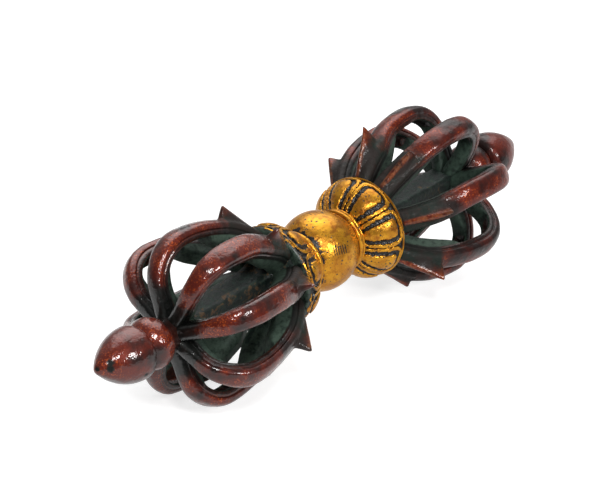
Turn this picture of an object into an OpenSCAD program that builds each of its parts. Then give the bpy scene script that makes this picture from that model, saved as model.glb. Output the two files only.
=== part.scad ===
// Nine-pronged dorje lying on its side: a gilt globe between two lotus cups, and at each
// end a cage of eight curved prongs round a straight central prong, closed by a bead and a bud.
// X runs along the staff, Z is up and the origin is the centre of the globe.

/* [Whole dorje] */
// Length from the tip of one bud to the tip of the other
overall_length = 154; // [140:0.5:180]

/* [Globe and collars] */
// Radius of the globe
globe_radius = 9.8; // [8.8:0.1:11]
// Radius of the flat on each side of the globe
globe_flat_radius = 6.6; // [5.5:0.1:7.5]
// Outer radius of a collar ring
collar_radius = 7.8; // [7:0.1:9]
// Thickness of a collar ring along the staff
collar_thickness = 1.6; // [1:0.1:3]

/* [Lotus cups] */
// Radius of a cup where it meets its collar
lotus_neck_radius = 7.2; // [6.5:0.1:8]
// Radius of a cup at its widest
lotus_rim_radius = 12.6; // [12:0.1:14]
// Length of a cup along the staff
lotus_depth = 9.3; // [8:0.1:12]
// Rounding of the cup's rim
lotus_lip = 1.3; // [1:0.1:2.2]
// Number of petals round a cup
petal_count = 8; // [6:1:10]
// Depth of the lines cut between the petals
petal_depth = 0.6; // [0.3:0.1:0.8]
// Gap between two petals at the neck
petal_neck_gap = 0.5; // [0.3:0.1:0.8]
// Width of a petal at the centre of its rounded end
petal_width = 8.4; // [7.6:0.1:9.2]
// Radius of a petal's rounded end
petal_arch_radius = 5; // [4.8:0.1:6]
// Distance from the end of a petal to the cup's widest place
petal_rim_gap = 0.4; // [0.2:0.1:0.8]

/* [Outer prongs] */
// Number of outer prongs in a cage
prong_count = 8; // [6:1:8]
// Width of a prong at its root
prong_root_width = 5.6; // [4.6:0.1:6]
// Width of a prong at its widest point from the axis
prong_bulge_width = 5.8; // [4.6:0.1:6.2]
// Width of a prong at its tip
prong_tip_width = 3.4; // [2.4:0.1:4]
// Thickness of a prong
prong_thickness = 3.8; // [3.2:0.1:4.6]
// Radius of the rounded outer face of a prong, seen along it
prong_crown = 3.3; // [3.2:0.1:5]
// Distance of a prong's root from the staff's axis
prong_root_radius = 9.2; // [8.8:0.1:9.6]
// Distance of a prong's widest point from the staff's axis
prong_bulge_radius = 19.6; // [17.5:0.1:22]
// Radius of the turn from the widest point in to the tip
prong_shoulder = 10; // [8:0.1:12]
// Diameter of the round tenon at the root
tenon_diameter = 3.4; // [2.4:0.1:3.8]
// Depth of the tenon in the cup
tenon_depth = 4; // [2:0.1:5]
// Length of the tongue that the bead closes over
tongue_length = 3; // [2:0.1:4]
// Thickness of the tongue
tongue_thickness = 1.4; // [1:0.1:1.6]

/* [Thorns] */
// Distance of a thorn's point from the staff's axis
thorn_point_radius = 21; // [19:0.1:22]
// Distance along the staff from the cup's face to the point
thorn_point_at = 7.8; // [6:0.1:9]
// Distance of the foot of a thorn's ridge from the staff's axis
thorn_foot_radius = 12.1; // [11.5:0.1:13]
// Distance along the staff from the cup's face to the end of the thorn's back
thorn_back_at = 11; // [10:0.1:13]
// Width of the ridge
thorn_ridge_width = 1.6; // [0.6:0.1:2.2]
// Width of a thorn at its base
thorn_width = 5.4; // [4.5:0.1:7]
// Depth below the ridge at which a thorn has its full width
thorn_flank_depth = 6.5; // [4:0.1:7]

/* [Central prongs] */
// Width of a central prong at the cup
core_root_width = 8.2; // [6:0.1:8.4]
// Width of a central prong at the tips of the outer prongs
core_tip_width = 6.4; // [5.2:0.1:7]
// Radius of the round pin at its outer end
core_pin_radius = 2.5; // [2.2:0.1:2.7]
// Radius of the spigot that sits in the cup
core_spigot_radius = 3; // [2.5:0.1:3.5]
// Depth of the spigot in the cup
core_spigot_depth = 3; // [2:0.1:4]

/* [Beads and buds] */
// Length of a bead along the staff
bead_length = 8.5; // [7.6:0.1:10]
// Radius of a bead at its widest
bead_radius = 6.2; // [5.8:0.1:7]
// Radius of a bead's round edge
bead_round = 3.2; // [2.8:0.1:3.6]
// Distance from a bead's outer face to its widest place
bead_widest_at = 2.3; // [1.8:0.1:2.6]
// Wall of the skirt that closes over the tongues
bead_skirt_wall = 0.7; // [0.5:0.1:1.2]
// Length of a bud along the staff
bud_length = 14.5; // [11:0.1:16]
// Radius of a bud at its widest
bud_radius = 6.6; // [6:0.1:7.5]
// Rounding between a bud's base and its widest place
bud_round = 2.4; // [2:0.1:3.2]
// Radius of the small flat on a bud's blunt tip
bud_tip_radius = 0.6; // [0.3:0.1:1.2]

/* [Tie rod and fits] */
// Radius of the tie rod
rod_radius = 1.5; // [1.2:0.1:1.7]
// Depth of the tie rod in a bud
rod_grip = 7; // [5:0.1:8]
// Clearance round the rod, tenons, spigots, pins and tongues
slide_clearance = 0.08; // [0.04:0.01:0.12]
// Gap between two pieces that meet face to face
face_gap = 0.05; // [0.02:0.01:0.1]
// Gap between two neighbouring prongs where they meet
prong_gap = 0.2; // [0.1:0.05:0.4]

/* [Hidden] */
$fn = 96;
SIDES = ["left", "right"];
STAFF_PIECES = ["collar", "lotus_cup", "central_prong", "bead", "bud"];

gilt = "#d8951c";
lacquer = "#5a2418";
verdigris = "#22382f";
iron = "#6a6a6a";

// Places along the staff, measured from the centre of the globe
globe_half = sqrt(pow(globe_radius, 2) - pow(globe_flat_radius, 2));
collar_at = globe_half + face_gap;
lotus_at = collar_at + collar_thickness + face_gap;
lotus_face = lotus_at + lotus_depth;
lotus_widest = lotus_face - lotus_lip;
root_at = lotus_face + face_gap;
bud_at = overall_length / 2 - bud_length;
bud_widest = bud_at + bud_round;
bead_face = bud_at - face_gap;
bead_widest = bead_face - bead_widest_at;
bead_at = bead_face - bead_length;
tip_at = bead_at - face_gap - prong_thickness / 2;
core_shoulder = tip_at - prong_thickness / 2 - face_gap;
bulge_at = tip_at - prong_shoulder;
tongue_end = bead_at + tongue_length;

// Lotus flank: an arc from the neck to the widest place, where it runs along the staff
flank_rise = lotus_rim_radius - lotus_neck_radius;
flank_run = lotus_depth - lotus_lip;
flank_radius = (pow(flank_run, 2) + pow(flank_rise, 2)) / (2 * flank_rise);
flank_centre = lotus_rim_radius - flank_radius;
petal_neck_half = lotus_neck_radius * tan(180 / petal_count) - petal_neck_gap / 2;
petal_end = lotus_widest - petal_rim_gap;
petal_arch_at = petal_end - petal_arch_radius;
petal_flare = (petal_width / 2 - petal_neck_half) / (petal_arch_at - lotus_at);

// Prong: a long arc from the cup's face to the widest point, then the shoulder
long_run = bulge_at - lotus_face;
long_rise = prong_bulge_radius - prong_root_radius;
long_radius = (pow(long_run, 2) + pow(long_rise, 2)) / (2 * long_rise);
long_centre = prong_bulge_radius - long_radius;
long_angle = asin(long_run / long_radius);
overrun_angle = 2 * asin(prong_thickness / 2 / long_radius);
shoulder_centre = prong_bulge_radius - prong_shoulder;
thorn_back = lotus_face + thorn_back_at;
thorn_back_radius = long_centre + sqrt(pow(long_radius, 2) - pow(bulge_at - thorn_back, 2));
thorn_point = lotus_face + thorn_point_at;
thorn_lean = atan2(thorn_point_radius - thorn_foot_radius, thorn_point - root_at);
prong_pitch = 360 / prong_count;
wedge_apex = prong_gap / 2 / sin(prong_pitch / 2);
cage_radius = prong_bulge_radius + prong_thickness;
tenon_overlap = prong_thickness / 8;

// Tip of a prong: it stops at the core's pin, and its tongue goes on under the bead's skirt
tongue_inner = core_pin_radius + slide_clearance;
tongue_outer = tongue_inner + tongue_thickness;
skirt_inner = tongue_outer + slide_clearance;
skirt_outer = skirt_inner + bead_skirt_wall;
skirt_depth = tongue_length + 2 * face_gap;

// Bud: an arc from the widest place to the tip
bud_run = bud_length - bud_round;
bud_rise = bud_radius - bud_tip_radius;
bud_arc = (pow(bud_run, 2) + pow(bud_rise, 2)) / (2 * bud_rise);

rod_bore = rod_radius + slide_clearance;
rod_end = bud_at + rod_grip;

// A head is modelled along Z and laid along X, with its first meridian upwards
module on_end(side) {
    mirror([side == "left" ? 1 : 0, 0, 0])
        rotate([0, 90, 0])
            rotate([0, 0, 180])
                children();
}

module rod_hole(from, to) {
    translate([0, 0, from])
        cylinder(r = rod_bore, h = to - from);
}

module hub_globe() {
    color(gilt)
        rotate([0, 90, 0])
            difference() {
                intersection() {
                    sphere(r = globe_radius);
                    cylinder(r = 2 * globe_radius, h = 2 * globe_half, center = true);
                }
                rod_hole(-globe_radius, globe_radius);
            }
}

module tie_rod() {
    color(iron)
        rotate([0, 90, 0])
            cylinder(r = rod_radius, h = 2 * rod_end, center = true);
}

module collar() {
    edge = collar_thickness / 2;
    color(gilt)
        rotate_extrude() {
            translate([rod_bore, collar_at])
                square([collar_radius - edge - rod_bore, collar_thickness]);
            intersection() {
                translate([collar_radius - edge, collar_at + edge])
                    circle(r = edge);
                translate([collar_radius - edge, collar_at])
                    square([edge, collar_thickness]);
            }
        }
}

// Half section of a lotus cup
module lotus_section() {
    intersection() {
        translate([flank_centre, lotus_widest])
            circle(r = flank_radius);
        translate([flank_centre, lotus_at])
            square([flank_radius, flank_run]);
    }
    translate([0, lotus_at])
        square([flank_centre, flank_run]);
    translate([0, lotus_widest])
        square([lotus_rim_radius - lotus_lip, lotus_lip]);
    intersection() {
        translate([lotus_rim_radius - lotus_lip, lotus_widest])
            circle(r = lotus_lip);
        translate([lotus_rim_radius - lotus_lip, lotus_widest])
            square(lotus_lip);
    }
}

// Half width of a petal at a place along the staff, below its rounded end
function petal_half(at) = petal_neck_half + petal_flare * (at - lotus_at);

// Stretch of a petal between two places along the staff
module petal_stretch(from, to) {
    polygon([
        [-petal_half(from), from],
        [petal_half(from), from],
        [petal_half(to), to],
        [-petal_half(to), to]
    ]);
}

// Petal seen from outside: straight sides that spread from the neck, and a rounded end
module petal_outline() {
    petal_stretch(lotus_at - lotus_lip, petal_arch_at);
    intersection() {
        petal_stretch(petal_arch_at, lotus_face);
        translate([0, petal_arch_at])
            circle(r = petal_arch_radius);
    }
}

module petal() {
    rotate([90, 0, 90])
        linear_extrude(height = 2 * lotus_rim_radius)
            petal_outline();
}

// Skin of the cup that the lines between the petals are cut from
module lotus_skin() {
    rotate_extrude()
        difference() {
            translate([flank_centre, lotus_at - lotus_lip])
                square([2 * flank_radius, flank_run + lotus_lip - petal_rim_gap / 2]);
            translate([flank_centre, lotus_widest])
                circle(r = flank_radius - petal_depth);
        }
}

module lotus_cup() {
    petal_pitch = 360 / petal_count;
    color(gilt)
        difference() {
            rotate_extrude()
                lotus_section();
            difference() {
                lotus_skin();
                for (k = [1 : petal_count])
                    rotate((k - 0.5) * petal_pitch)
                        petal();
            }
            rod_hole(lotus_at - lotus_lip, lotus_face + lotus_lip);
            translate([0, 0, lotus_face - core_spigot_depth - face_gap])
                cylinder(r = core_spigot_radius + slide_clearance, h = lotus_depth);
            for (k = [1 : prong_count])
                rotate((k - 0.5) * prong_pitch)
                    translate([prong_root_radius, 0, lotus_face - tenon_depth - face_gap])
                        cylinder(d = tenon_diameter + 2 * slide_clearance, h = lotus_depth);
        }
}

// Bar of square section that narrows from one end to the other
module square_taper(from, to, from_width, to_width) {
    side_view = [
        [-from_width / 2, from],
        [from_width / 2, from],
        [to_width / 2, to],
        [-to_width / 2, to]
    ];
    intersection() {
        rotate([90, 0, 0])
            linear_extrude(height = 2 * from_width, center = true)
                polygon(side_view);
        rotate([90, 0, 90])
            linear_extrude(height = 2 * from_width, center = true)
                polygon(side_view);
    }
}

module central_prong() {
    color(verdigris)
        difference() {
            union() {
                square_taper(root_at, core_shoulder, core_root_width, core_tip_width);
                translate([0, 0, lotus_face - core_spigot_depth])
                    cylinder(r = core_spigot_radius, h = core_spigot_depth + prong_thickness);
                translate([0, 0, core_shoulder - prong_thickness])
                    cylinder(r = core_pin_radius, h = tongue_end - core_shoulder + prong_thickness);
            }
            rod_hole(lotus_at, bead_face);
        }
}

// Section of a prong: flat inside, rounded outside, with X pointing out of the cage
module prong_section() {
    intersection() {
        translate([prong_thickness / 2 - prong_crown, 0])
            circle(r = prong_crown);
        translate([-prong_thickness / 2, -prong_crown])
            square([prong_thickness, 2 * prong_crown]);
    }
}

module prong_bow() {
    translate([long_centre, 0, bulge_at])
        rotate([-90, 0, 0])
            rotate_extrude(angle = long_angle + overrun_angle)
                translate([long_radius, 0])
                    prong_section();
    translate([shoulder_centre, 0, bulge_at])
        rotate([90, 0, 0])
            rotate_extrude(angle = 90)
                translate([prong_shoulder, 0])
                    prong_section();
    translate([0, 0, tip_at])
        rotate([0, 90, 0])
            linear_extrude(height = shoulder_centre)
                mirror([1, 0])
                    prong_section();
}

// Sides of a prong: straight from its root to its widest point from the axis, then closing in to its tip
module prong_sides() {
    rotate([90, 0, 90])
        linear_extrude(height = cage_radius)
            polygon([
                [-prong_root_width / 2, root_at],
                [prong_root_width / 2, root_at],
                [prong_bulge_width / 2, bulge_at],
                [prong_tip_width / 2, bead_at],
                [-prong_tip_width / 2, bead_at],
                [-prong_bulge_width / 2, bulge_at]
            ]);
}

module thorn() {
    intersection() {
        rotate([90, 0, 0])
            linear_extrude(height = thorn_width, center = true)
                polygon([
                    [thorn_foot_radius, root_at],
                    [thorn_point_radius, thorn_point],
                    [thorn_back_radius, thorn_back],
                    [prong_root_radius, root_at]
                ]);
        translate([thorn_foot_radius, 0, root_at])
            rotate([0, thorn_lean, 0])
                linear_extrude(height = 4 * thorn_point_at, center = true)
                    polygon([
                        [0, thorn_ridge_width / 2],
                        [-thorn_flank_depth, thorn_width / 2],
                        [-cage_radius, thorn_width / 2],
                        [-cage_radius, -thorn_width / 2],
                        [-thorn_flank_depth, -thorn_width / 2],
                        [0, -thorn_ridge_width / 2]
                    ]);
    }
}

// Room that one prong may fill: its share of the circle, past the cup's face
module prong_room() {
    reach = 2 * cage_radius;
    half = (reach - wedge_apex) * tan(prong_pitch / 2);
    translate([0, 0, root_at])
        linear_extrude(height = bead_face - root_at)
            polygon([[wedge_apex, 0], [reach, half], [reach, -half]]);
}

module prong_tongue() {
    translate([0, 0, tip_at])
        difference() {
            cylinder(r = tongue_outer, h = tongue_end - face_gap - tip_at);
            cylinder(r = tongue_inner, h = bead_face - tip_at);
        }
}

module prong(k) {
    color(lacquer)
        rotate((k - 0.5) * prong_pitch) {
            difference() {
                intersection() {
                    union() {
                        intersection() {
                            prong_bow();
                            prong_sides();
                        }
                        thorn();
                        prong_tongue();
                    }
                    prong_room();
                }
                translate([0, 0, core_shoulder])
                    cylinder(r = tongue_inner, h = bead_face - core_shoulder);
            }
            translate([prong_root_radius, 0, lotus_face - tenon_depth])
                cylinder(d = tenon_diameter, h = tenon_depth + face_gap + tenon_overlap);
        }
}

module bead() {
    color(lacquer)
        difference() {
            rotate_extrude()
                intersection() {
                    union() {
                        translate([bead_radius - bead_round, bead_widest])
                            circle(r = bead_round);
                        translate([0, bead_at])
                            square([skirt_outer, bead_widest - bead_at]);
                        translate([0, bead_widest - bead_round / 2])
                            square([bead_radius - bead_round, bead_length]);
                    }
                    translate([0, bead_at])
                        square([bead_radius, bead_length]);
                }
            rod_hole(bead_at, bud_at);
            translate([0, 0, bead_at - face_gap])
                cylinder(r = skirt_inner, h = skirt_depth);
        }
}

module bud() {
    color(lacquer)
        difference() {
            rotate_extrude() {
                translate([0, bud_at])
                    square([bud_radius - bud_round, bud_round]);
                intersection() {
                    translate([bud_radius - bud_round, bud_widest])
                        circle(r = bud_round);
                    translate([bud_radius - bud_round, bud_at])
                        square(bud_round);
                }
                intersection() {
                    translate([bud_radius - bud_arc, bud_widest])
                        circle(r = bud_arc);
                    translate([0, bud_widest])
                        square([bud_radius, bud_run]);
                }
            }
            rod_hole(bud_at - face_gap, rod_end + face_gap);
        }
}

hub_globe();
tie_rod();
for (side = SIDES) on_end(side) {
    collar();
    lotus_cup();
    central_prong();
    bead();
    bud();
    for (k = [1 : prong_count])
        prong(k);
}
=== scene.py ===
"""Dresses the nine-pronged dorje: gilt waist with carved lotus petals, lacquered prongs, beads and buds."""
from math import asin, atan2, cos, exp, hypot, pi, radians, sin

import bpy
from mathutils import Matrix, Vector, noise


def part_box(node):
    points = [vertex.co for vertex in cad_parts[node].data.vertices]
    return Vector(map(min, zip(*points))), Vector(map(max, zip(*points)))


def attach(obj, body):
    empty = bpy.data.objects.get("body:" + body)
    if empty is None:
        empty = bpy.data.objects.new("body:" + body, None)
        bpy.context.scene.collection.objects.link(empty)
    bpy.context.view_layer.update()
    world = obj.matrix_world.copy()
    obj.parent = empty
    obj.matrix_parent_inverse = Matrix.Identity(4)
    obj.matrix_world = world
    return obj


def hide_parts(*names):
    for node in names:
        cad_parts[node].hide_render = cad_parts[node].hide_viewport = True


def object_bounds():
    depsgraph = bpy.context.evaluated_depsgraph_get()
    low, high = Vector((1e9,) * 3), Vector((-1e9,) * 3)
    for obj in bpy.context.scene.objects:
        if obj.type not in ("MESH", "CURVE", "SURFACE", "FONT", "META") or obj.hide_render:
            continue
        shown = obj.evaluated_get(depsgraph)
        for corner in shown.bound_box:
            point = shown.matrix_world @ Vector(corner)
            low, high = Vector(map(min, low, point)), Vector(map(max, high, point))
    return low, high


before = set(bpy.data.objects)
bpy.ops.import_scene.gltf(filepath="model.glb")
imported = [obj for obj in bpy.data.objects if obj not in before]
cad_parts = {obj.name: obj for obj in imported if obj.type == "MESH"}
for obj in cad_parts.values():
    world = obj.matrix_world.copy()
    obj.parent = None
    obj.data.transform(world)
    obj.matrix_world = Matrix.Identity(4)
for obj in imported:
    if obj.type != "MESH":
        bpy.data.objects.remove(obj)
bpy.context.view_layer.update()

# Sizes in millimetres. Places along the staff and outer radii come from the frame.
MM = 0.001
ALONG, UP = 0, 2


def node_span(node, axis):
    low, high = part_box(node)
    return low[axis] / MM, high[axis] / MM


globe_half = node_span("hub_globe", ALONG)[1]
globe_radius = node_span("hub_globe", UP)[1]
collar_at, collar_end = node_span("right_collar", ALONG)
collar_radius = node_span("right_collar", UP)[1]
lotus_at, lotus_face = node_span("right_lotus_cup", ALONG)
lotus_rim_radius = node_span("right_lotus_cup", UP)[1]
bead_at, bead_face = node_span("right_bead", ALONG)
bead_radius = node_span("right_bead", UP)[1]
bud_at, bud_tip = node_span("right_bud", ALONG)
bud_radius = node_span("right_bud", UP)[1]

# Collars
collar_tuck = 0.7
ring_depth = 0.9
ring_setback = 0.2
broad_ring = 0.68
fine_ring = 0.38

# Lotus cups
lotus_neck_radius = 7.2
lotus_back_radius = 3.6
lotus_face_radius = 6
lotus_lip = 1.3
lotus_widest = lotus_face - lotus_lip
flank_run = lotus_widest - lotus_at
flank_rise = lotus_rim_radius - lotus_neck_radius
flank_radius = (flank_run ** 2 + flank_rise ** 2) / (2 * flank_rise)
flank_centre = lotus_rim_radius - flank_radius
petal_count = 8
petal_pitch = 2 * pi / petal_count
petal_arch = 3.0
petal_squareness = 3.4
petal_border = 1.1
petal_groove = 1.1
petal_slit = 0.22
groove_depth = 0.55
groove_roughness = 0.18
panel_rise = 0.3
panel_crown_run = 0.8
petal_edge_softness = 0.17
broad_waver = 0.28
fine_waver = 0.24

# Prongs
prong_thickness = 3.8
prong_root_width = 5.7
prong_bulge_width = 6.0
prong_tip_width = 4.0
cap_squareness = 2.5
cap_edge = 0.1
prong_root_radius = 9.2
prong_bulge_radius = 19.6
prong_shoulder = 10.0
tip_at = bead_at - prong_thickness / 2
bulge_at = tip_at - prong_shoulder
long_run = bulge_at - lotus_face
long_rise = prong_bulge_radius - prong_root_radius
long_radius = (long_run ** 2 + long_rise ** 2) / (2 * long_rise)
long_centre = prong_bulge_radius - long_radius
long_angle = asin(long_run / long_radius)
shoulder_centre = prong_bulge_radius - prong_shoulder
root_overrun = 1.4
leaf_depth = 4.0
leaf_end = 18.5
leaf_spread = 0.8
leaf_edge = 0.9
leaf_floor = 1.7
leaf_blend = 1.2
web_depth = 2.1
tip_swell = 0.3
tip_end_radius = 1.6
bulge_travel = long_radius * long_angle
tip_travel = bulge_travel + prong_shoulder * pi / 2
end_travel = tip_travel + shoulder_centre - tip_end_radius

# Spans of height over a prong's centre line where its finish changes
lacquer_edge = (-1.75, -1.4)
rib_edge = (-0.75, -0.5)
groove_floor = (-0.7, -0.5)
groove_lip = (-0.2, 0.05)
rubbed_thorn = (2.0, 4.2)
# Spans along a prong where its root patina and the painted shade behind the thorn end and where its bow
# begins, and depth of its inner face
root_patina_and_shade_end = (11, 16)
bow_start = (9, 20)
inner_face = (0.6, 1.4)

# Thorns
thorn_foot = Vector((lotus_face, 12.2))
thorn_point = Vector((lotus_face + 7.8, 21.0))
thorn_back = Vector((lotus_face + 10.5, 17.2))
thorn_ridge_half = 0.55
thorn_half_width = 3.1
thorn_tip_half = 1.1
thorn_top = 5.0
thorn_crown = 0.25
thorn_taper_start = 8.5

# Beads
bead_rounding = 4.4
bead_widest_back = 3.3
bead_neck_radius = 4.6
# Skirt under the prong tips: distances behind the bead and radii
bead_skirt = [(4.6, 0), (4.6, 3.3), (3.2, 4.1), (2, bead_neck_radius - 0.25)]

# Buds
bud_fullness = 2.1
bud_lean = 0.6
bud_rounding = 2.4
bud_tip_radius = 0.9
bud_tip_length = 0.3
bud_steps = 40
# Dark marks on a bud: their places from the tip, and how far they spread
bud_marks = [
    (Vector((bud_tip - 0.2, 0.3, 0.6)), 0.7),
    (Vector((bud_tip - 2.7, 2.0, 2.0)), 1.0),
    (Vector((bud_tip - 2.3, 2.4, 0.8)), 1.1),
    (Vector((bud_tip - 7.5, 4.0, 3.7)), 0.5),
    (Vector((bud_tip - 10.1, 6.0, -2.1)), 0.6),
]

# Central prongs
core_root_width = 8.2
core_tip_width = 6.4
core_foot_radius = 11.6
core_foot_run = 6.5
core_foot_curve = 2.2
core_tuck = 0.4
core_stations = 36


# Small tools

def eased(value, start, end):
    """Rises smoothly from 0 at start to 1 at end."""
    t = min(max((value - start) / (end - start), 0), 1)
    return t * t * (3 - 2 * t)


def select_only(piece):
    bpy.ops.object.select_all(action="DESELECT")
    piece.select_set(True)
    bpy.context.view_layer.objects.active = piece


def turned_piece(name, outline, steps):
    """A piece turned about the staff, from its outline of places along the staff and radii."""
    bpy.ops.object.select_all(action="DESELECT")
    bpy.ops.mesh.primitive_plane_add(size=1)
    piece = bpy.context.object
    piece.name = name
    bpy.ops.object.mode_set(mode="EDIT")
    bpy.ops.mesh.merge(type="CENTER")
    at, radius = outline[0]
    bpy.ops.transform.translate(value=(at, 0, radius))
    for next_at, next_radius in outline[1:]:
        step = (next_at - at, 0, next_radius - radius)
        bpy.ops.mesh.extrude_vertices_move(TRANSFORM_OT_translate={"value": step})
        at, radius = next_at, next_radius
    bpy.ops.mesh.select_all(action="SELECT")
    bpy.ops.mesh.spin(steps=steps, angle=2 * pi, center=(0, 0, 0), axis=(1, 0, 0))
    close_seams()
    bpy.ops.object.mode_set(mode="OBJECT")
    return piece


def close_seams():
    bpy.ops.mesh.select_all(action="SELECT")
    bpy.ops.mesh.remove_doubles(threshold=0.001)
    bpy.ops.mesh.normals_make_consistent(inside=False)


def arc(centre_at, centre_radius, radius, start, end, steps):
    """Points of an arc in an outline. Angles are from the outward direction towards the staff's end."""
    points = []
    for i in range(steps + 1):
        angle = start + (end - start) * i / steps
        points.append((centre_at + radius * sin(angle), centre_radius + radius * cos(angle)))
    return points


def subdivide(piece, levels):
    select_only(piece)
    bpy.ops.object.modifier_add(type="SUBSURF")
    modifier = piece.modifiers[-1]
    modifier.levels = levels
    modifier.render_levels = levels
    bpy.ops.object.modifier_apply(modifier=modifier.name)


def hand_finish(piece, size, depth):
    """Uneven surface left by casting and filing: lumps of a size and depth."""
    clouds = bpy.data.textures.new("hand_finish", type="CLOUDS")
    clouds.noise_scale = size
    clouds.noise_depth = 2
    select_only(piece)
    bpy.ops.object.modifier_add(type="DISPLACE")
    modifier = piece.modifiers[-1]
    modifier.texture = clouds
    modifier.texture_coords = "LOCAL"
    modifier.strength = depth
    modifier.mid_level = 0.5
    bpy.ops.object.modifier_apply(modifier=modifier.name)


def copied(piece, name, turn):
    """A copy with its own mesh, turned into its place."""
    select_only(piece)
    bpy.ops.object.duplicate(linked=False)
    copy = bpy.context.object
    copy.name = name
    copy.data.name = name
    copy.data.transform(turn)
    return copy


def settle(piece, node, finish):
    """Brings a piece from millimetres to its place in the frame and gives it its finish."""
    select_only(piece)
    piece.scale = (MM, MM, MM)
    bpy.ops.object.transform_apply(location=True, rotation=True, scale=True)
    bpy.ops.object.shade_smooth_by_angle(angle=radians(50))
    piece.data.materials.clear()
    piece.data.materials.append(finish)
    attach(piece, "root")
    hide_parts(node)


def painted(piece, shade):
    """Keeps, at each point of the mesh, the four shares of its finish that shade gives."""
    layer = piece.data.color_attributes.new("paint", "FLOAT_COLOR", "POINT")
    for vertex in piece.data.vertices:
        layer.data[vertex.index].color = shade(vertex.co)


def to_left():
    return Matrix.Rotation(pi, 4, "Z")


# Gilt waist

def model_globe():
    edge = asin(globe_half / globe_radius)
    outline = [(-globe_half, 0), *arc(0, 0, globe_radius, -edge, edge, 56), (globe_half, 0)]
    piece = turned_piece("globe", outline, steps=144)
    hand_finish(piece, size=7, depth=0.25)
    return piece


def model_collar():
    """Ring with a fine line round it, nearer to the lotus."""
    start = collar_at - collar_tuck
    root = collar_radius - ring_depth
    broad_at = start + ring_setback + broad_ring
    fine_at = collar_end - fine_ring
    outline = [(start, 0), (start, root)]
    outline += arc(broad_at, collar_radius - broad_ring, broad_ring, -pi / 2, pi / 2, 10)
    outline += arc(fine_at, collar_radius - ring_setback - fine_ring, fine_ring, -pi / 2, pi / 2, 8)
    outline += [(collar_end, root), (collar_end, 0)]
    piece = turned_piece("neck_ring", outline, steps=128)
    painted(piece, collar_shade)
    return piece


def collar_shade(point):
    """Patina in the lines beside the rings."""
    return eased(collar_radius - hypot(point.y, point.z), 0.5, 0.75), 0, 0, 1


def petal_place(point):
    """Distance of a point of the flank inside its petal's edge, and its distance from the rim."""
    radius = hypot(point.y, point.z)
    azimuth = atan2(point.y, point.z)
    aside = (azimuth % petal_pitch) - petal_pitch / 2
    from_rim = flank_radius * atan2(lotus_widest - point.x, radius - flank_centre)
    half = radius * petal_pitch / 2 - petal_slit / 2
    end = max(petal_arch - from_rim, 0) / petal_arch
    share = (abs(aside) * radius / half) ** petal_squareness + end ** petal_squareness
    return half * (1 - share ** (1 / petal_squareness)), from_rim, half


def petal_relief(point):
    """Height of the carving at a point of the flank, and how deep in the patina it lies."""
    inside, from_rim, half = petal_place(point)
    inside += broad_waver * noise.noise(point * 0.8) + fine_waver * noise.noise(point * 2.3)
    narrowing = half / (lotus_rim_radius * petal_pitch / 2)
    border = petal_border * (0.45 + 0.55 * narrowing)
    groove_end = border + petal_groove * (0.5 + 0.5 * narrowing)
    soft = petal_edge_softness
    on_border = eased(inside, -soft, soft) * (1 - eased(inside, border - soft, border + soft))
    on_panel = eased(inside, groove_end - soft, groove_end + 2 * soft)
    crown = panel_rise * (1 - exp(-max(inside - groove_end, 0) / panel_crown_run))
    raised = max(on_border, on_panel)
    rough = groove_roughness * noise.noise(point * 3.1)
    height = -(groove_depth + rough) * (1 - raised) + crown * on_panel
    return height, 1 - raised


def model_lotus():
    steep = asin(flank_run / flank_radius)
    outline = [(lotus_at, 0), (lotus_at, lotus_back_radius)]
    outline += arc(lotus_widest, flank_centre, flank_radius, -steep, 0, 84)
    outline += arc(lotus_widest, lotus_rim_radius - lotus_lip, lotus_lip, 0, pi / 2, 8)[1:]
    outline += [(lotus_face, lotus_face_radius), (lotus_face, 0)]
    piece = turned_piece("lotus", outline, steps=400)
    carved = {}
    for vertex in piece.data.vertices:
        point = vertex.co.copy()
        radius = hypot(point.y, point.z)
        if radius < lotus_neck_radius - 0.01:
            carved[vertex.index] = 1
            continue
        if point.x > lotus_widest + 0.001:
            carved[vertex.index] = 0
            continue
        height, carved[vertex.index] = petal_relief(point)
        lean = atan2(lotus_widest - point.x, radius - flank_centre)
        outward = Vector((-sin(lean), cos(lean) * point.y / radius, cos(lean) * point.z / radius))
        vertex.co = point + outward * height
    layer = piece.data.color_attributes.new("paint", "FLOAT_COLOR", "POINT")
    for index, depth in carved.items():
        at_rim = eased(piece.data.vertices[index].co.x, lotus_widest + 0.4, lotus_widest + 1.1)
        layer.data[index].color = (max(depth, at_rim), at_rim, 0, 1)
    return piece


# Cages

def bow_place(travel):
    """Centre of a prong at a distance along it from its root, and the direction out of the cage there."""
    if travel < bulge_travel:
        lean = long_angle - travel / long_radius
        outward = Vector((-sin(lean), cos(lean)))
        return Vector((bulge_at, long_centre)) + outward * long_radius, outward
    if travel < tip_travel:
        turn = (travel - bulge_travel) / prong_shoulder
        outward = Vector((sin(turn), cos(turn)))
        return Vector((bulge_at, shoulder_centre)) + outward * prong_shoulder, outward
    return Vector((tip_at, shoulder_centre - (travel - tip_travel))), Vector((1, 0))


def bow_travel(at, radius):
    """Distance along a prong, and height over its centre line, of a point."""
    if at <= bulge_at:
        lean = atan2(bulge_at - at, radius - long_centre)
        return long_radius * (long_angle - lean), hypot(bulge_at - at, radius - long_centre) - long_radius
    if radius > shoulder_centre:
        turn = atan2(at - bulge_at, radius - shoulder_centre)
        height = hypot(at - bulge_at, radius - shoulder_centre) - prong_shoulder
        return bulge_travel + prong_shoulder * turn, height
    return tip_travel + shoulder_centre - radius, at - tip_at


thorn_travel = bow_travel(*thorn_point)[0]


def cap_height(share):
    """Height of a prong's rounded outer face at a share of its half width."""
    return cap_edge + (prong_thickness / 2 - cap_edge) * (1 - share ** cap_squareness) ** (1 / cap_squareness)


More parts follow.
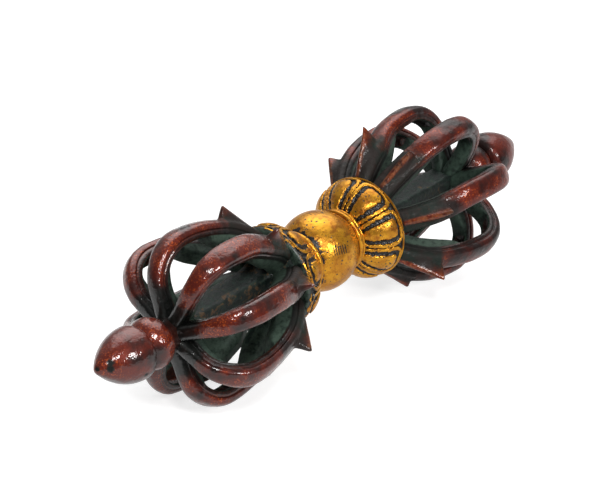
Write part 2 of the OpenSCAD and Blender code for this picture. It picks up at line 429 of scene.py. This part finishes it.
def prong_outline():
    """Section of a prong as shares of its half width and heights: cap, groove, rib and hollow inner face."""
    top = prong_thickness / 2
    shares = (0, 0.12, 0.24, 0.30, 0.42, 0.54, 0.66, 0.77, 0.87, 0.95, 1)
    half = [(share, cap_height(share)) for share in shares]
    half += [(0.98, -0.12), (0.92, -0.28), (0.92, -0.48), (0.97, -0.64)]
    half += [(0.98, -0.90), (0.98, -1.30), (0.94, -1.65), (0.84, -top), (0.74, -1.86)]
    half += [(0.60, -1.45), (0.42, -1.00), (0.20, -0.70), (0, -0.60)]
    return half + [(-across, height) for across, height in reversed(half[1:-1])]


def prong_width(travel):
    if travel < bulge_travel:
        return prong_root_width + (prong_bulge_width - prong_root_width) * max(travel, 0) / bulge_travel
    thinning = eased(travel, bulge_travel, tip_travel + 2)
    return prong_bulge_width + (prong_tip_width - prong_bulge_width) * thinning


def crossing(centre, outward, start, end):
    """Height over the centre line at which a section meets one edge of the thorn, or 0."""
    edge = end - start
    across = outward.x * edge.y - outward.y * edge.x
    if abs(across) < 1e-9:
        return 0
    gap = start - centre
    share = (gap.x * outward.y - gap.y * outward.x) / across
    height = (gap.x * edge.y - gap.y * edge.x) / across
    return height if 0 <= share <= 1 else 0


def thorn_height(travel, aside):
    """Height of the thorn over the prong's centre line, at a distance from its middle plane."""
    centre, outward = bow_place(travel)
    front = crossing(centre, outward, thorn_foot, thorn_point)
    top = max(front, crossing(centre, outward, thorn_point, thorn_back))
    narrowing = eased(travel, thorn_taper_start, thorn_travel + 0.5)
    half = thorn_half_width + (thorn_tip_half - thorn_half_width) * narrowing
    if top <= 0 or abs(aside) > half:
        return -prong_thickness
    if abs(aside) < thorn_ridge_half:
        return top - thorn_crown * (aside / thorn_ridge_half) ** 2
    fall = (abs(aside) - thorn_ridge_half) / (half - thorn_ridge_half)
    return cap_edge + (top - thorn_crown - cap_edge) * (1 - fall)


def leaf_reach(travel):
    """Depth of the leaf under a prong's root: full at the cup, with a round end."""
    return leaf_depth * max(1 - (max(travel, 0) / leaf_end) ** 4, 0) ** 0.5


def web_reach(travel):
    """Depth of the web that fills a prong's shoulder, down to its tip."""
    return web_depth * eased(travel, bulge_travel + 6, tip_travel)


def shape_prong(piece):
    """Gives the plain bar its taper, its thorn, the leaf at its root and the web at its tip."""
    for vertex in piece.data.vertices:
        travel, height = bow_travel(vertex.co.x, vertex.co.z)
        share = vertex.co.y
        aside = share * prong_width(travel) / 2
        if height > 0:
            height = max(height, thorn_height(travel, aside))
        elif height < -0.5 and abs(share) < leaf_edge:
            reach = max(leaf_reach(travel), web_reach(travel))
            leaf = -leaf_floor - reach * (1 - (share / leaf_edge) ** 2) ** 0.5
            height += (leaf - height) * eased(reach, 0, leaf_blend)
            aside *= 1 + leaf_spread * eased(reach, 0, leaf_blend) * (1 - abs(share) / leaf_edge)
        near_tip = eased(travel, tip_travel + 1, end_travel - 1)
        height *= 1 + tip_swell * near_tip
        centre, outward = bow_place(travel)
        place = centre + outward * height
        vertex.co = (place.x, aside, place.y)


def model_prong():
    outline = prong_outline()
    start, outward = bow_place(-root_overrun)
    bpy.ops.object.select_all(action="DESELECT")
    bpy.ops.mesh.primitive_circle_add(vertices=len(outline), radius=1, fill_type="NOTHING")
    piece = bpy.context.object
    piece.name = "prong"
    for vertex, (share, height) in zip(piece.data.vertices, outline):
        place = start + outward * height
        vertex.co = (place.x, share, place.y)
    bow_steps, shoulder_steps, tip_steps = 84, 30, 8
    bow_angle = long_angle + root_overrun / long_radius
    bpy.ops.object.mode_set(mode="EDIT")
    bpy.ops.mesh.select_all(action="SELECT")
    middle = (bulge_at, 0, long_centre)
    bpy.ops.mesh.spin(steps=bow_steps, angle=-bow_angle, center=middle, axis=(0, 1, 0))
    middle = (bulge_at, 0, shoulder_centre)
    bpy.ops.mesh.spin(steps=shoulder_steps, angle=-pi / 2, center=middle, axis=(0, 1, 0))
    step = (0, 0, -(shoulder_centre - tip_end_radius) / tip_steps)
    for _ in range(tip_steps):
        bpy.ops.mesh.extrude_region_move(TRANSFORM_OT_translate={"value": step})
    bpy.ops.mesh.edge_face_add()
    bpy.ops.mesh.select_all(action="DESELECT")
    bpy.ops.mesh.select_non_manifold(extend=False, use_wire=False, use_multi_face=False)
    bpy.ops.mesh.edge_face_add()
    close_seams()
    bpy.ops.object.mode_set(mode="OBJECT")
    shape_prong(piece)
    subdivide(piece, 1)
    painted(piece, prong_shade)
    return piece


def prong_shade(point):
    """Shares of lacquer, of ridge wear, of root patina with painted shade behind the thorn, and of soot at
    the neck with darkening in the groove and over the rib, at a point of a prong.
    """
    travel, height = bow_travel(point.x, point.z)
    lacquer = eased(height, *lacquer_edge)
    share = min(abs(point.y) / (prong_width(travel) / 2), 1)
    thorn = eased(thorn_height(travel, point.y) - cap_height(share), -0.2, 0.3)
    on_front = 1 - eased(travel, thorn_travel - 0.6, thorn_travel + 0.2)
    ridge = thorn * on_front * (1 - eased(abs(point.y), thorn_ridge_half, thorn_ridge_half + 0.35))
    flank = thorn * eased(height, 0, 0.5)
    # Root patina near the cup, carried on as painted shade over the bow behind the thorn's point
    root = 1 - eased(travel + 3 * noise.noise(point * 0.4), *root_patina_and_shade_end)
    rubbed_point = thorn * eased(height, *rubbed_thorn)
    rib = lacquer * (1 - eased(height, *rib_edge))
    groove = eased(height, *groove_floor) * (1 - eased(height, *groove_lip))
    neck = eased(travel + 2 * noise.noise(point * 0.5), tip_travel - 2.5, tip_travel + 1)
    leaf = (1 - lacquer) * (1 - eased(travel, leaf_end - 1, leaf_end + 2))
    scoop = 0.6 * (1 - lacquer) * eased(travel, bulge_travel, tip_travel)
    patina = max(flank, leaf, root, scoop) * (1 - ridge) * (1 - 0.75 * rubbed_point)
    # The last share is soot at the neck, and darkening in the groove and over the rib
    return lacquer, ridge, patina, max(neck * lacquer, 0.5 * groove, 0.8 * rib)


def set_by_hand(piece, root_turn, bow_turn, thorn_out, bow_out, inner_spread=0):
    """Moves a prong and its thorn a little off their even places, as they were set by hand."""
    for vertex in piece.data.vertices:
        travel, height = bow_travel(vertex.co.x, vertex.co.z)
        on_bow = eased(travel, *bow_start)
        at_tip = eased(travel, bulge_travel + 4, tip_travel + 2)
        thorn = eased(thorn_height(travel, 0), prong_thickness / 2, prong_thickness / 2 + 0.7)
        out = thorn_out * thorn * max(height - 1, 0) / (thorn_top - 1) + bow_out * on_bow * (1 - at_tip)
        outward = bow_place(travel)[1]
        vertex.co += Vector((outward.x, 0, outward.y)) * out
        before_bulge = 1 - eased(travel, bulge_travel - 6, bulge_travel + 4)
        inside = eased(-height, *inner_face) * eased(travel, 4, 10) * before_bulge
        vertex.co.y *= 1 + inner_spread * inside
        turn = root_turn * (1 - on_bow) + bow_turn * on_bow * (1 - at_tip)
        vertex.co.rotate(Matrix.Rotation(radians(turn), 3, "X"))


def bead_shade(point):
    return 1, 0, 0, 1 - eased(point.x, bead_at + 0.5, bead_at + 4)


def bud_shade(point):
    ragged = 0.3 * noise.noise(point * 1.6)
    spots = [((point - place).length + ragged, reach) for place, reach in bud_marks]
    mark = max(1 - eased(distance, 0.5 * reach, reach) for distance, reach in spots)
    return 1, 0, mark, mark


def model_core():
    """Square bar with a foot that spreads over the face of the lotus cup."""
    start, end = lotus_face - core_tuck, tip_at - prong_thickness / 2
    step = (end - start) / core_stations
    bpy.ops.object.select_all(action="DESELECT")
    bpy.ops.mesh.primitive_circle_add(vertices=48, radius=1, fill_type="NGON", location=(start, 0, 0),
                                      rotation=(0, pi / 2, 0))
    piece = bpy.context.object
    piece.name = "core"
    bpy.ops.object.transform_apply(location=True, rotation=True, scale=True)
    bpy.ops.object.mode_set(mode="EDIT")
    bpy.ops.mesh.select_all(action="SELECT")
    for _ in range(core_stations):
        bpy.ops.mesh.extrude_region_move(TRANSFORM_OT_translate={"value": (step, 0, 0)})
    close_seams()
    bpy.ops.object.mode_set(mode="OBJECT")
    for vertex in piece.data.vertices:
        at = vertex.co.x
        azimuth = atan2(vertex.co.y, vertex.co.z)
        spread = 1 - min(max((at - start) / core_foot_run, 0), 1)
        half = (core_root_width + (core_tip_width - core_root_width) * (at - start) / (end - start)) / 2
        corner = 2 + 5 * eased(at, lotus_face + 2, lotus_face + core_foot_run)
        square = (abs(cos(azimuth)) ** corner + abs(sin(azimuth)) ** corner) ** (-1 / corner)
        radius = half * square + (core_foot_radius - half) * spread ** core_foot_curve
        vertex.co = (at, radius * sin(azimuth), radius * cos(azimuth))
    subdivide(piece, 1)
    return piece


# Ends of the staff

def model_bead():
    ring_centre = bead_radius - bead_rounding
    start = asin((bead_neck_radius - ring_centre) / bead_rounding) - pi / 2
    end = asin(bead_widest_back / bead_rounding)
    outline = [(bead_at - behind, radius) for behind, radius in bead_skirt]
    outline += arc(bead_face - bead_widest_back, ring_centre, bead_rounding, start, end, 28)
    outline += [(bead_face, 0)]
    piece = turned_piece("round_bead", outline, steps=96)
    painted(piece, bead_shade)
    return piece


def model_bud():
    widest = bud_at + bud_rounding
    run, rise = bud_tip - bud_tip_length - widest, bud_radius - bud_tip_radius
    outline = [(bud_at, 0)]
    outline += arc(widest, bud_radius - bud_rounding, bud_rounding, -pi / 2, 0, 14)
    for i in range(1, bud_steps + 1):
        share = i / bud_steps
        outline.append((widest + run * share, bud_tip_radius + rise * (1 - share ** bud_fullness)))
    outline += [(bud_tip - 0.08, 0.4), (bud_tip, 0)]
    piece = turned_piece("lotus_bud", outline, steps=96)
    painted(piece, bud_shade)
    for vertex in piece.data.vertices:
        vertex.co.z += bud_lean * ((vertex.co.x - bud_at) / (bud_tip - bud_at)) ** 2
    return piece


# Finishes

def tree_of(name):
    material = bpy.data.materials.new(name)
    material.use_nodes = True
    material.node_tree.nodes.clear()
    return material, material.node_tree


def add(tree, kind, inputs=(), **settings):
    """A shader node with its settings, and its sockets set or linked by name or number."""
    node = tree.nodes.new("ShaderNode" + kind)
    for key, value in settings.items():
        setattr(node, key, value)
    for key, value in dict(inputs).items():
        if isinstance(value, bpy.types.NodeSocket):
            tree.links.new(value, node.inputs[key])
        else:
            node.inputs[key].default_value = value
    return node


def in_millimetres(tree):
    place = add(tree, "TexCoord").outputs["Object"]
    return add(tree, "VectorMath", {0: place, "Scale": 1 / MM}, operation="SCALE").outputs["Vector"]


def mottle(tree, place, scale, detail=3, roughness=0.55):
    inputs = {"Vector": place, "Scale": scale, "Detail": detail, "Roughness": roughness}
    return add(tree, "TexNoise", inputs).outputs[0]


def ramp(tree, value, low, high, start=0.0, end=1.0):
    """Follows a value from low to high with a smooth step."""
    inputs = {"Value": value, "From Min": low, "From Max": high, "To Min": start, "To Max": end}
    return add(tree, "MapRange", inputs, interpolation_type="SMOOTHSTEP").outputs["Result"]


def maths(tree, operation, first, second):
    return add(tree, "Math", {0: first, 1: second}, operation=operation, use_clamp=False).outputs[0]


def less(tree, value, part):
    """One less a part of a value."""
    return maths(tree, "SUBTRACT", 1.0, maths(tree, "MULTIPLY", value, part))


def dot(tree, first, second):
    return add(tree, "VectorMath", {0: first, 1: second}, operation="DOT_PRODUCT").outputs["Value"]


def mixed(tree, share, first, second):
    return add(tree, "Mix", {0: share, 6: first, 7: second}, data_type="RGBA").outputs[2]


def bump(tree, height, distance, strength):
    return add(tree, "Bump", {"Height": height, "Distance": distance, "Strength": strength}).outputs["Normal"]


def surface(tree, inputs):
    shader = add(tree, "BsdfPrincipled", inputs)
    tree.links.new(shader.outputs[0], tree.nodes.new("ShaderNodeOutputMaterial").inputs[0])


GOLD_BRIGHT = (0.71, 0.335, 0.024, 1)
GOLD_DEEP = (0.50, 0.205, 0.019, 1)
GOLD_BROWN = (0.30, 0.085, 0.010, 1)
PATINA_BLACK = (0.010, 0.009, 0.008, 1)
LACQUER_BLACK = (0.016, 0.007, 0.006, 1)
LACQUER_RED = (0.120, 0.012, 0.005, 1)
# Red of grains that are partly wear and partly painted glints of the lacquer's fine bumps
WORN_AND_GLINT_RED = (0.50, 0.085, 0.008, 1)
RUBBED_BROWN = (0.26, 0.085, 0.030, 1)
# Flank colours, also used for the painted shade on the bow behind each thorn
FLANK_BROWN = (0.018, 0.013, 0.011, 1)
FLANK_GREEN = (0.009, 0.016, 0.012, 1)
SOOT = (0.006, 0.007, 0.006, 1)
GREEN_DARK = (0.0035, 0.0075, 0.006, 1)
GREEN_DUSTY = (0.016, 0.037, 0.026, 1)
GREEN_PALE = (0.060, 0.090, 0.068, 1)
CORE_BROWN = (0.12, 0.055, 0.02, 1)
IRON_DARK = (0.16, 0.16, 0.165, 1)
IRON_PALE = (0.34, 0.34, 0.35, 1)
PAPER_GREY = (0.5, 0.5, 0.5, 1)
WHITE = (1, 1, 1, 1)

# Chaser's marks on the globe: their middle, the directions along and across the lines, and the pitch
CHASED_AT = (-2.1, -8.5, 4.4)
CHASED_ALONG = (0.187, 0.512, 0.838)
CHASED_ACROSS = (0.71, -0.66, 0.244)
CHASED_PITCH = 0.56


def gilt_finish(name, recess):
    """Worn gilding. recess(tree, place) gives how much of it is under patina, before specks and pits."""
    material, tree = tree_of(name)
    place = in_millimetres(tree)
    tone = ramp(tree, mottle(tree, place, 0.22, 4), 0.35, 0.65)
    wear = mottle(tree, place, 0.5, 3)
    grain = mottle(tree, place, 2.4, 4, 0.7)
    gold = mixed(tree, tone, GOLD_DEEP, GOLD_BRIGHT)
    gold = mixed(tree, ramp(tree, wear, 0.50, 0.70, 0, 0.75), gold, GOLD_BROWN)
    specks = add(tree, "TexVoronoi", {"Vector": place, "Scale": 1.25}).outputs["Distance"]
    specks = ramp(tree, maths(tree, "ADD", specks, maths(tree, "MULTIPLY", wear, 0.9)), 0.62, 0.56)
    pits = add(tree, "TexVoronoi", {"Vector": place, "Scale": 0.55}).outputs["Distance"]
    pits = ramp(tree, maths(tree, "ADD", pits, maths(tree, "MULTIPLY", wear, 0.3)), 0.31, 0.25)
    along = add(tree, "SeparateXYZ", {"Vector": place}).outputs["X"]
    left_rim = maths(tree, "MULTIPLY", ramp(tree, along, -12.5, -17.0, 0, 0.6), ramp(tree, wear, 0.35, 0.6))
    hollow = maths(tree, "ADD", recess(tree, place), maths(tree, "MULTIPLY", grain, 0.6))
    hollow = maths(tree, "ADD", hollow, left_rim)
    patina = ramp(tree, hollow, 0.6, 0.9)
    dark = maths(tree, "MAXIMUM", patina, maths(tree, "MAXIMUM", specks, pits))
    dents, pores = mottle(tree, place, 1.1, 1, 0.4), mottle(tree, place, 2.8, 1, 0.4)
    relief = maths(tree, "ADD", dents, maths(tree, "MULTIPLY", pores, 0.4))
    relief = maths(tree, "SUBTRACT", relief, maths(tree, "MULTIPLY", dark, 0.6))
    paint = add(tree, "Attribute", attribute_name="paint").outputs["Color"]
    face = add(tree, "SeparateColor", {"Color": paint}).outputs[1]
    green = mixed(tree, ramp(tree, wear, 0.35, 0.6), GREEN_DARK, GREEN_PALE)
    surface(tree, {
        "Base Color": mixed(tree, dark, gold, mixed(tree, face, PATINA_BLACK, green)),
        "Metallic": ramp(tree, dark, 0.2, 0.9, 0.8, 0.1),
        "Roughness": ramp(tree, grain, 0.3, 0.7, 0.25, 0.40),
        "Normal": bump(tree, relief, 0.00015, 0.5),
    })
    return material


def carved_recess(tree, place):
    paint = add(tree, "Attribute", attribute_name="paint").outputs["Color"]
    return add(tree, "SeparateColor", {"Color": paint}).outputs[0]


def globe_recess(tree, place):
    """Patina left beside the left collar, and the fine lines of a chaser's tool on the front."""
    along = add(tree, "SeparateXYZ", {"Vector": place}).outputs["X"]
    waver = maths(tree, "MULTIPLY", mottle(tree, place, 0.4, 5, 0.7), 7.0)
    left = ramp(tree, maths(tree, "ADD", along, waver), -globe_half + 5.4, -globe_half + 3.4)
    from_middle = add(tree, "VectorMath", {0: place, 1: CHASED_AT}, operation="SUBTRACT").outputs["Vector"]
    along_line = dot(tree, from_middle, CHASED_ALONG)
    across = dot(tree, from_middle, CHASED_ACROSS)
    ripple = maths(tree, "SINE", maths(tree, "MULTIPLY", across, 2 * pi / CHASED_PITCH), 0)
    inside = maths(tree, "MULTIPLY", ramp(tree, maths(tree, "ABSOLUTE", across, 0), 1.8, 1.4),
                   ramp(tree, maths(tree, "ABSOLUTE", along_line, 0), 1.3, 0.9))
    lines = maths(tree, "MULTIPLY", ramp(tree, ripple, 0.0, 0.6, 0, 0.85), inside)
    return maths(tree, "MAXIMUM", left, lines)


def lacquer_finish():
    """Glossy red-brown lacquer with red grains, partly wear and partly painted glints of its fine bumps, and
    green patina, painted shade behind the thorns and soot where the paint says so.
    """
    material, tree = tree_of("lacquer")
    place = in_millimetres(tree)
    cloud = mottle(tree, place, 0.12, 3)
    mid = mottle(tree, place, 0.75, 4, 0.65)
    grain = mottle(tree, place, 2.2, 3, 0.6)
    paint = add(tree, "Attribute", attribute_name="paint")
    shares = add(tree, "SeparateColor", {"Color": paint.outputs["Color"]})
    # The third share is patina and dust, and painted shade on the bow behind each thorn
    lacquered, ridge, patina_and_shade, soot = *shares.outputs, paint.outputs["Alpha"]
    colour = mixed(tree, ramp(tree, cloud, 0.34, 0.56), LACQUER_BLACK, LACQUER_RED)
    # Red grains, partly wear and partly painted glints of the lacquer's fine bumps, fewer on the buds
    wear_and_glint = maths(tree, "MULTIPLY", ramp(tree, grain, 0.5, 0.72), ramp(tree, cloud, 0.42, 0.6))
    along = add(tree, "SeparateXYZ", {"Vector": place}).outputs["X"]
    from_globe = maths(tree, "ABSOLUTE", along, 0)
    past_bead = ramp(tree, from_globe, bud_at - 2, bud_at + 2)
    on_bud = maths(tree, "SUBTRACT", past_bead, ramp(tree, from_globe, bud_tip - 6, bud_tip - 2))
    wear_and_glint = maths(tree, "MULTIPLY", wear_and_glint, less(tree, on_bud, 0.75))
    colour = mixed(tree, wear_and_glint, colour, WORN_AND_GLINT_RED)
    rubbed = maths(tree, "MULTIPLY", ridge, ramp(tree, mid, 0.35, 0.65, 0, 0.7))
    colour = mixed(tree, rubbed, colour, RUBBED_BROWN)
    green = mixed(tree, ramp(tree, mid, 0.32, 0.62), GREEN_DARK, GREEN_DUSTY)
    dusted = maths(tree, "MULTIPLY", patina_and_shade, ramp(tree, mid, 0.3, 0.6, 0.2, 0.9))
    green = mixed(tree, dusted, green, GREEN_PALE)
    patina_and_shade = maths(tree, "MULTIPLY", patina_and_shade, ramp(tree, mid, 0.2, 0.5, 0.8, 1))
    # Patina colour, which also paints the shade on the bow behind each thorn
    flank = mixed(tree, ramp(tree, cloud, 0.4, 0.6), FLANK_BROWN, FLANK_GREEN)
    colour = mixed(tree, patina_and_shade, colour, flank)
    unlacquered = less(tree, lacquered, 1.0)
    colour = mixed(tree, unlacquered, colour, green)
    bare = maths(tree, "MAXIMUM", unlacquered, patina_and_shade)
    # The soot colour also darkens the grooves and ribs of the prongs
    colour = mixed(tree, soot, colour, SOOT)
    dents, pores = mottle(tree, place, 0.8, 1, 0.4), mottle(tree, place, 2.2, 1, 0.4)
    relief = maths(tree, "ADD", maths(tree, "MULTIPLY", dents, 0.4), maths(tree, "MULTIPLY", pores, 0.25))
    ripple = bump(tree, relief, 0.0004, 0.6)
    polish = maths(tree, "MULTIPLY", ramp(tree, along, -10, 25, 1.0, 0.5), less(tree, bare, 0.97))
    roughness = maths(tree, "ADD", ramp(tree, mid, 0.3, 0.7, 0.36, 0.48), maths(tree, "MULTIPLY", bare, 0.14))
    surface(tree, {
        "Base Color": colour,
        "Metallic": maths(tree, "SUBTRACT", 0.4, maths(tree, "MULTIPLY", bare, 0.4)),
        "Specular IOR Level": 0.2,
        "Roughness": roughness,
        "Normal": ripple,
        "Coat Weight": polish,
        "Coat Roughness": 0.06,
        "Coat IOR": 1.5,
        "Coat Normal": ripple,
    })
    return material


def verdigris_finish():
    """Dark green patina with dusty green spots and rubbed brown ones."""
    material, tree = tree_of("verdigris_core")
    place = in_millimetres(tree)
    cloud = mottle(tree, place, 0.16, 3)
    mid = mottle(tree, place, 0.8, 4, 0.65)
    green = mixed(tree, ramp(tree, mid, 0.42, 0.72), GREEN_DARK, GREEN_DUSTY)
    rubbed = ramp(tree, maths(tree, "MULTIPLY", cloud, mid), 0.28, 0.36, 0, 0.7)
    surface(tree, {
        "Base Color": mixed(tree, rubbed, green, CORE_BROWN),
        "Specular IOR Level": 0.4,
        "Roughness": ramp(tree, mid, 0.3, 0.7, 0.42, 0.62),
        "Normal": bump(tree, mid, 0.0006, 0.5),
    })
    return material


def iron_finish():
    material, tree = tree_of("rod_iron")
    place = in_millimetres(tree)
    grain = mottle(tree, place, 1.5, 4)
    surface(tree, {
        "Base Color": mixed(tree, grain, IRON_DARK, IRON_PALE),
        "Metallic": 1.0,
        "Roughness": ramp(tree, grain, 0.3, 0.7, 0.3, 0.5),
        "Normal": bump(tree, grain, 0.0001, 0.3),
    })
    return material


# The dorje

gilt_globe = gilt_finish("gilt_globe", globe_recess)
gilt_carved = gilt_finish("gilt_carved", carved_recess)
lacquer = lacquer_finish()
verdigris_core = verdigris_finish()

settle(model_globe(), "hub_globe", gilt_globe)

ENDS = {"right": Matrix.Identity(4), "left": to_left()}
# Prongs that stand off their even places: turn of the root and of the bow in degrees, and
# how much further out the thorn's point and the bow's widest place are in millimetres. A fifth
# value is the share by which the prong's inner face is broader.
HAND_SET = {
    "right_1": (-7.5, -6, -0.6, 1.3),
    "right_2": (3.5, -1, 2.0, 1.8),
    "right_3": (4.5, 0.5, 1.6, 0.3),
    "right_4": (4, 0, -1.5, 0),
    "right_5": (2, 1, -0.5, 0.2),
    "right_6": (-2, -1.5, 0.3, -0.3),
    "right_7": (-1.5, 0, -0.2, 0),
    "right_8": (7, 0, 2.5, 0.2),
    "left_1": (-1, -4, 0.6, 0.5),
    "left_2": (1, -1, 1.2, 0.3),
    "left_3": (-2.5, -1, 1.0, -0.5),
    "left_4": (6, 0, 1.2, 0.2),
    "left_5": (-3, -6, 0.4, 1.6, 0.9),
    "left_6": (0, -1.5, -0.4, 0),
    "left_7": (-1, 2.5, 0.3, 0.2),
    "left_8": (2, 2, 0.3, -0.4),
}


def fit_both_ends(model, node, finish, lump, depth):
    for side, turn in ENDS.items():
        piece = copied(model, f"{side}_{model.name}", turn)
        hand_finish(piece, lump, depth)
        settle(piece, f"{side}_{node}", finish)
    bpy.data.objects.remove(model)


fit_both_ends(model_collar(), "collar", gilt_carved, lump=4, depth=0.2)
fit_both_ends(model_lotus(), "lotus_cup", gilt_carved, lump=6, depth=0.25)
fit_both_ends(model_core(), "central_prong", verdigris_core, lump=5, depth=0.5)
fit_both_ends(model_bead(), "bead", lacquer, lump=6, depth=0.3)
fit_both_ends(model_bud(), "bud", lacquer, lump=7, depth=0.2)

prong = model_prong()
for side, turn in ENDS.items():
    for k in range(1, 9):
        low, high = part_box(f"{side}_prong_{k}")
        azimuth = atan2(-(low[1] + high[1]), low[2] + high[2])
        piece = copied(prong, f"{side}_bow_{k}", Matrix.Identity(4))
        root_turn, bow_turn, *offsets = HAND_SET[f"{side}_{k}"]
        if side == "left":
            root_turn, bow_turn = -root_turn, -bow_turn
        set_by_hand(piece, root_turn, bow_turn, *offsets)
        piece.data.transform(Matrix.Rotation(azimuth, 4, "X") @ turn)
        hand_finish(piece, size=9, depth=0.5)
        hand_finish(piece, size=1.6, depth=0.08)
        settle(piece, f"{side}_prong_{k}", lacquer)
bpy.data.objects.remove(prong)

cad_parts["tie_rod"].data.materials.clear()
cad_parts["tie_rod"].data.materials.append(iron_finish())


# Studio

camera_azimuth, camera_height, camera_roll = radians(-51.0), radians(29.15), radians(2.36)
camera_distance = 0.740
pixels_per_mm = 4.193
# Pixels by which the globe is right of and below the middle of the picture
globe_right, globe_low = 18.0, 4.9
IMAGE_WIDTH = 600

level = Vector((cos(camera_azimuth), sin(camera_azimuth), 0))
away = Vector((sin(camera_azimuth), -cos(camera_azimuth), 0))
back = away * cos(camera_height) + Vector((0, 0, sin(camera_height)))
rise = back.cross(level)
right = level * cos(camera_roll) + rise * sin(camera_roll)
up = rise * cos(camera_roll) - level * sin(camera_roll)

camera_data = bpy.data.cameras.new("camera")
camera_data.sensor_width = 36
camera_data.lens = pixels_per_mm / MM * camera_distance * camera_data.sensor_width / IMAGE_WIDTH
camera = bpy.data.objects.new("camera", camera_data)
bpy.context.collection.objects.link(camera)
target = (up * globe_low - right * globe_right) * MM / pixels_per_mm
turn = Matrix((right, up, back)).transposed().to_4x4()
camera.matrix_world = Matrix.Translation(target + back * camera_distance) @ turn
bpy.context.scene.camera = camera


def lamp(name, direction, distance, size, power, spread=pi):
    data = bpy.data.lights.new(name, "AREA")
    data.shape = "SQUARE"
    data.size = size
    data.energy = power
    data.spread = spread
    light = bpy.data.objects.new(name, data)
    bpy.context.collection.objects.link(light)
    direction = Vector(direction).normalized()
    light.location = direction * distance
    light.rotation_euler = direction.to_track_quat("Z", "Y").to_euler()


lamp("key_softbox", (-0.46, -0.47, 0.76), distance=0.9, size=0.16, power=3.4)
lamp("front_softbox", (-0.10, -0.83, 0.52), distance=0.9, size=0.19, power=3.8)
lamp("ceiling_softbox", (0.45, 0.38, 0.81), distance=0.9, size=1.1, power=2.6, spread=radians(90))

# White backdrop behind the dorje, a dimmer room in front of it and a pale ceiling
BEHIND = (0.777, 0.629, 0)
ROOM_GLOW, BACKDROP_GLOW, CEILING_GLOW = 0.09, 0.33, 0.12
world = bpy.data.worlds.new("studio")
bpy.context.scene.world = world
world.use_nodes = True
sky = world.node_tree
sky.nodes.clear()
ray = add(sky, "TexCoord").outputs["Generated"]
height = add(sky, "SeparateXYZ", {"Vector": ray}).outputs["Z"]
backdrop = dot(sky, ray, BEHIND)
around = ramp(sky, backdrop, -0.2, 0.5, ROOM_GLOW, BACKDROP_GLOW)
glow = maths(sky, "ADD", around, ramp(sky, height, 0.3, 0.95, 0, CEILING_GLOW))
background = add(sky, "Background", {"Color": WHITE, "Strength": glow})
sky.links.new(background.outputs[0], sky.nodes.new("ShaderNodeOutputWorld").inputs[0])

# White floor under the lowest prongs: its brightness, and the share of it that reflections show
FLOOR_BRIGHTNESS, FLOOR_MIRRORED = 0.74, 0.45
floor_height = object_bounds()[0][UP]
bpy.ops.object.select_all(action="DESELECT")
bpy.ops.mesh.primitive_grid_add(x_subdivisions=2, y_subdivisions=2, size=6, location=(0, 0, floor_height))
floor = bpy.context.object
floor.name = "floor"
bpy.ops.object.transform_apply(location=True)
paper, paper_tree = tree_of("white_paper")
matt = add(paper_tree, "BsdfDiffuse", {"Color": PAPER_GREY})
path = add(paper_tree, "LightPath")
mirrored = maths(paper_tree, "MULTIPLY", path.outputs["Is Glossy Ray"], FLOOR_MIRRORED)
seen = maths(paper_tree, "MAXIMUM", path.outputs["Is Camera Ray"], mirrored)
seen = maths(paper_tree, "MAXIMUM", seen, path.outputs["Is Transmission Ray"])
brightness = maths(paper_tree, "MULTIPLY", seen, FLOOR_BRIGHTNESS)
lift = add(paper_tree, "Emission", {"Color": WHITE, "Strength": brightness})
both = add(paper_tree, "AddShader", {0: matt.outputs[0], 1: lift.outputs[0]})
paper_tree.links.new(both.outputs[0], paper_tree.nodes.new("ShaderNodeOutputMaterial").inputs[0])
floor.data.materials.append(paper)

bpy.context.scene.view_settings.view_transform = "Standard"
